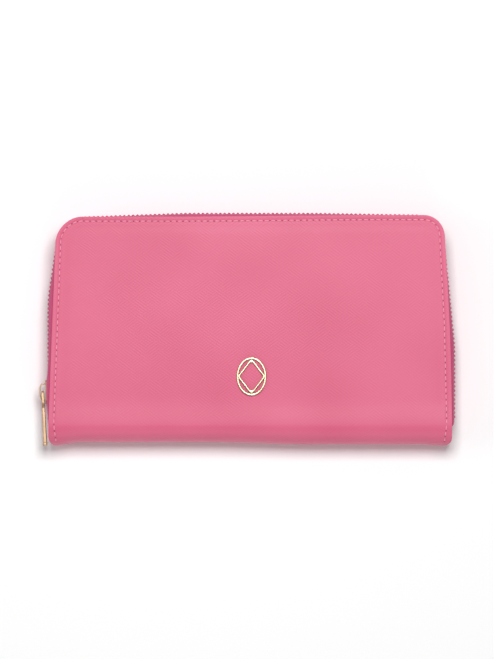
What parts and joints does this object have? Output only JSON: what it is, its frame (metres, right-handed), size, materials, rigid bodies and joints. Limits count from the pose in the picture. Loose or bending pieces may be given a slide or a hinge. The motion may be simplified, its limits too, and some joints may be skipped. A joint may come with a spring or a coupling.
{
  "type": "zip-around wallet",
  "caption": "Zip-around continental wallet in crosshatch leather, with card leaves, two note compartments and a zipped coin pocket, lying on its back.",
  "frame": {"origin": "on the resting face of the back panel, midway along the spine and midway between the spine's outer line and the top of the zip", "axes": "+X along the spine, +Y from the spine to the top zip, +Z out of the front panel"},
  "size_m": [0.194, 0.1089, 0.025],
  "materials": {
    "outer_leather": "pink crosshatch-embossed polyurethane leather, satin",
    "board": "grey-buff stiffening board",
    "lining": "smooth pink polyurethane lining",
    "card_leaf": "smooth pink polyurethane leather",
    "gusset": "thin smooth pink polyurethane leather",
    "pocket_cloth": "pink woven pocket cloth",
    "zip_tape": "deep pink woven polyester tape",
    "zip_coil": "deep pink nylon coil",
    "gold_metal": "pale gold plating, polished",
    "ornament_metal": "pale champagne gold plating, polished",
    "washer_steel": "plain steel",
    "spring_steel": "blued spring strip"
  },
  "bodies": {
    "back_half": {"back_cover": "outer_leather", "back_board": "board", "back_lining": "lining", "back_card_leaf_1": "card_leaf", "back_card_leaf_2": "card_leaf", "back_card_leaf_3": "card_leaf", "back_zip_tape": "zip_tape", "back_zip_coil": "zip_coil", "back_zip_stops": "gold_metal", "spine_cover": "outer_leather", "spine_lining": "lining", "rear_gusset_left": "gusset", "rear_gusset_right": "gusset", "front_gusset_left": "gusset", "front_gusset_right": "gusset"},
    "front_half": {"front_cover": "outer_leather", "front_board": "board", "front_lining": "lining", "front_card_leaf_1": "card_leaf", "front_card_leaf_2": "card_leaf", "front_card_leaf_3": "card_leaf", "front_zip_tape": "zip_tape", "front_zip_coil": "zip_coil", "front_zip_stops": "gold_metal", "ornament": "ornament_metal", "ornament_washers": "washer_steel"},
    "coin_pocket": {"coin_pocket_rear_wall": "pocket_cloth", "coin_pocket_front_wall": "pocket_cloth", "coin_pocket_edge": "pocket_cloth", "coin_zip_rear_tape": "zip_tape", "coin_zip_front_tape": "zip_tape", "coin_zip_rear_coil": "zip_coil", "coin_zip_front_coil": "zip_coil", "coin_zip_stops": "gold_metal"},
    "zip_slider": {"zip_slider_body": "gold_metal", "zip_slider_crown": "gold_metal", "zip_lock_spring": "spring_steel"},
    "zip_pull": {"zip_pull": "gold_metal"},
    "coin_slider": {"coin_slider_body": "gold_metal", "coin_slider_crown": "gold_metal"},
    "coin_pull": {"coin_pull": "gold_metal"}
  },
  "joints": [
    {"name": "front_cover_open", "type": "hinge", "parent": "back_half", "child": "front_half", "pos_m": [0, -0.054, 0.012], "axis": [1, 0, 0], "range_deg": [0, 45], "deforming": ["spine_cover", "spine_lining", "rear_gusset_left", "rear_gusset_right", "front_gusset_left", "front_gusset_right"]},
    {"name": "coin_pocket_follow", "type": "hinge", "parent": "back_half", "child": "coin_pocket", "pos_m": [0, -0.054, 0.012], "axis": [1, 0, 0], "range_deg": [0, 22.5], "deforming": ["spine_cover", "spine_lining", "rear_gusset_left", "rear_gusset_right", "front_gusset_left", "front_gusset_right"]},
    {"name": "zip_slider_travel", "type": "slide", "parent": "back_half", "child": "zip_slider", "axis": [0, 1, 0], "range_m": [0, 0.03], "deforming": ["back_zip_coil", "front_zip_coil"]},
    {"name": "zip_pull_swing", "type": "hinge", "parent": "zip_slider", "child": "zip_pull", "pos_m": [-0.0975, -0.02945, 0.012], "axis": [0, 0, -1], "range_deg": [0, 165]},
    {"name": "coin_slider_travel", "type": "slide", "parent": "coin_pocket", "child": "coin_slider", "axis": [1, 0, 0], "range_m": [0, 0.14], "deforming": ["coin_zip_rear_coil", "coin_zip_front_coil"]},
    {"name": "coin_pull_swing", "type": "hinge", "parent": "coin_slider", "child": "coin_pull", "pos_m": [-0.07405, 0.03015, 0.012], "axis": [0, 0, 1], "range_deg": [0, 165]}
  ],
  "couplings": [
    {"joint": "coin_pocket_follow", "follows": "front_cover_open", "ratio": 0.5}
  ]
}
